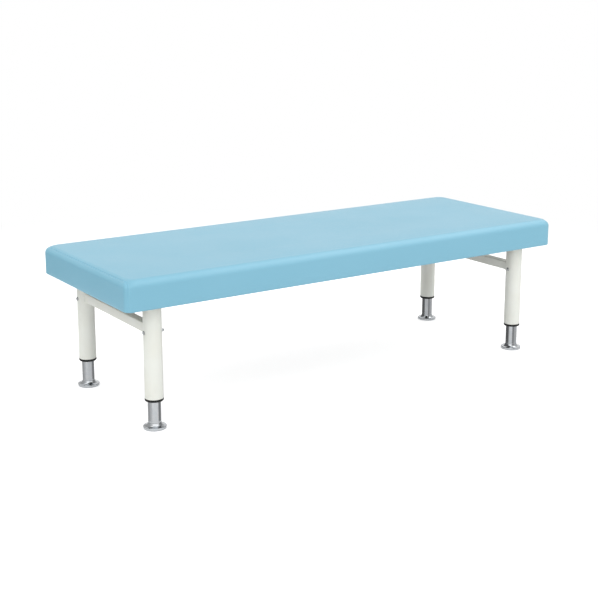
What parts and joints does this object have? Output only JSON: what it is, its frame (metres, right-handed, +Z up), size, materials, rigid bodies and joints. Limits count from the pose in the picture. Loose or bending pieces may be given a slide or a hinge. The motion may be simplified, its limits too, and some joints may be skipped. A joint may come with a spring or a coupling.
{
  "type": "examination table",
  "caption": "Low padded examination table: rectangular vinyl-covered top on round painted tube legs whose chrome inner tubes slide to set the height.",
  "frame": {"origin": "on the floor under the middle of the top, with the legs drawn out to the highest setting", "axes": "+X along the table's length, +Y across its width, +Z up; the cap nuts of the height bolts are on each leg's +X side"},
  "size_m": [1.8, 0.65, 0.515],
  "materials": {
    "vinyl": "smooth light blue vinyl with a low sheen",
    "foam": "cut urethane foam",
    "wood": "bare plywood and planed softwood",
    "dust_cover": "black non-woven cloth",
    "paint": "off-white baked paint, semi-gloss",
    "plastic": "moulded black plastic",
    "zinc": "zinc-plated steel",
    "chrome": "bright chrome plate",
    "rubber": "moulded black rubber"
  },
  "bodies": {
    "table": {"pad_cover": "vinyl", "foam_core": "foam", "deck_board": "wood", "front_side_rail": "wood", "back_side_rail": "wood", "dust_cover": "dust_cover", "left_end_rail": "wood", "left_leg_board": "wood", "left_batten": "wood", "left_mount_bar": "paint", "left_cross_rail": "paint", "left_mount_screw_1": "zinc", "left_mount_screw_2": "zinc", "left_mount_screw_3": "zinc", "left_mount_screw_4": "zinc", "right_end_rail": "wood", "right_leg_board": "wood", "right_batten": "wood", "right_mount_bar": "paint", "right_cross_rail": "paint", "right_mount_screw_1": "zinc", "right_mount_screw_2": "zinc", "right_mount_screw_3": "zinc", "right_mount_screw_4": "zinc", "front_left_leg_tube": "paint", "front_left_guide_bush": "plastic", "front_left_height_bolt": "zinc", "front_left_cap_nut": "zinc", "front_right_leg_tube": "paint", "front_right_guide_bush": "plastic", "front_right_height_bolt": "zinc", "front_right_cap_nut": "zinc", "back_left_leg_tube": "paint", "back_left_guide_bush": "plastic", "back_left_height_bolt": "zinc", "back_left_cap_nut": "zinc", "back_right_leg_tube": "paint", "back_right_guide_bush": "plastic", "back_right_height_bolt": "zinc", "back_right_cap_nut": "zinc"},
    "front_left_leg": {"front_left_inner_tube": "chrome", "front_left_top_guide": "plastic", "front_left_foot": "chrome", "front_left_sole": "rubber"},
    "front_right_leg": {"front_right_inner_tube": "chrome", "front_right_top_guide": "plastic", "front_right_foot": "chrome", "front_right_sole": "rubber"},
    "back_left_leg": {"back_left_inner_tube": "chrome", "back_left_top_guide": "plastic", "back_left_foot": "chrome", "back_left_sole": "rubber"},
    "back_right_leg": {"back_right_inner_tube": "chrome", "back_right_top_guide": "plastic", "back_right_foot": "chrome", "back_right_sole": "rubber"}
  },
  "joints": [
    {"name": "front_left_leg_slide", "type": "slide", "parent": "table", "child": "front_left_leg", "axis": [0, 0, 1], "range_m": [0, 0.065]},
    {"name": "front_right_leg_slide", "type": "slide", "parent": "table", "child": "front_right_leg", "axis": [0, 0, 1], "range_m": [0, 0.065]},
    {"name": "back_left_leg_slide", "type": "slide", "parent": "table", "child": "back_left_leg", "axis": [0, 0, 1], "range_m": [0, 0.065]},
    {"name": "back_right_leg_slide", "type": "slide", "parent": "table", "child": "back_right_leg", "axis": [0, 0, 1], "range_m": [0, 0.065]}
  ]
}
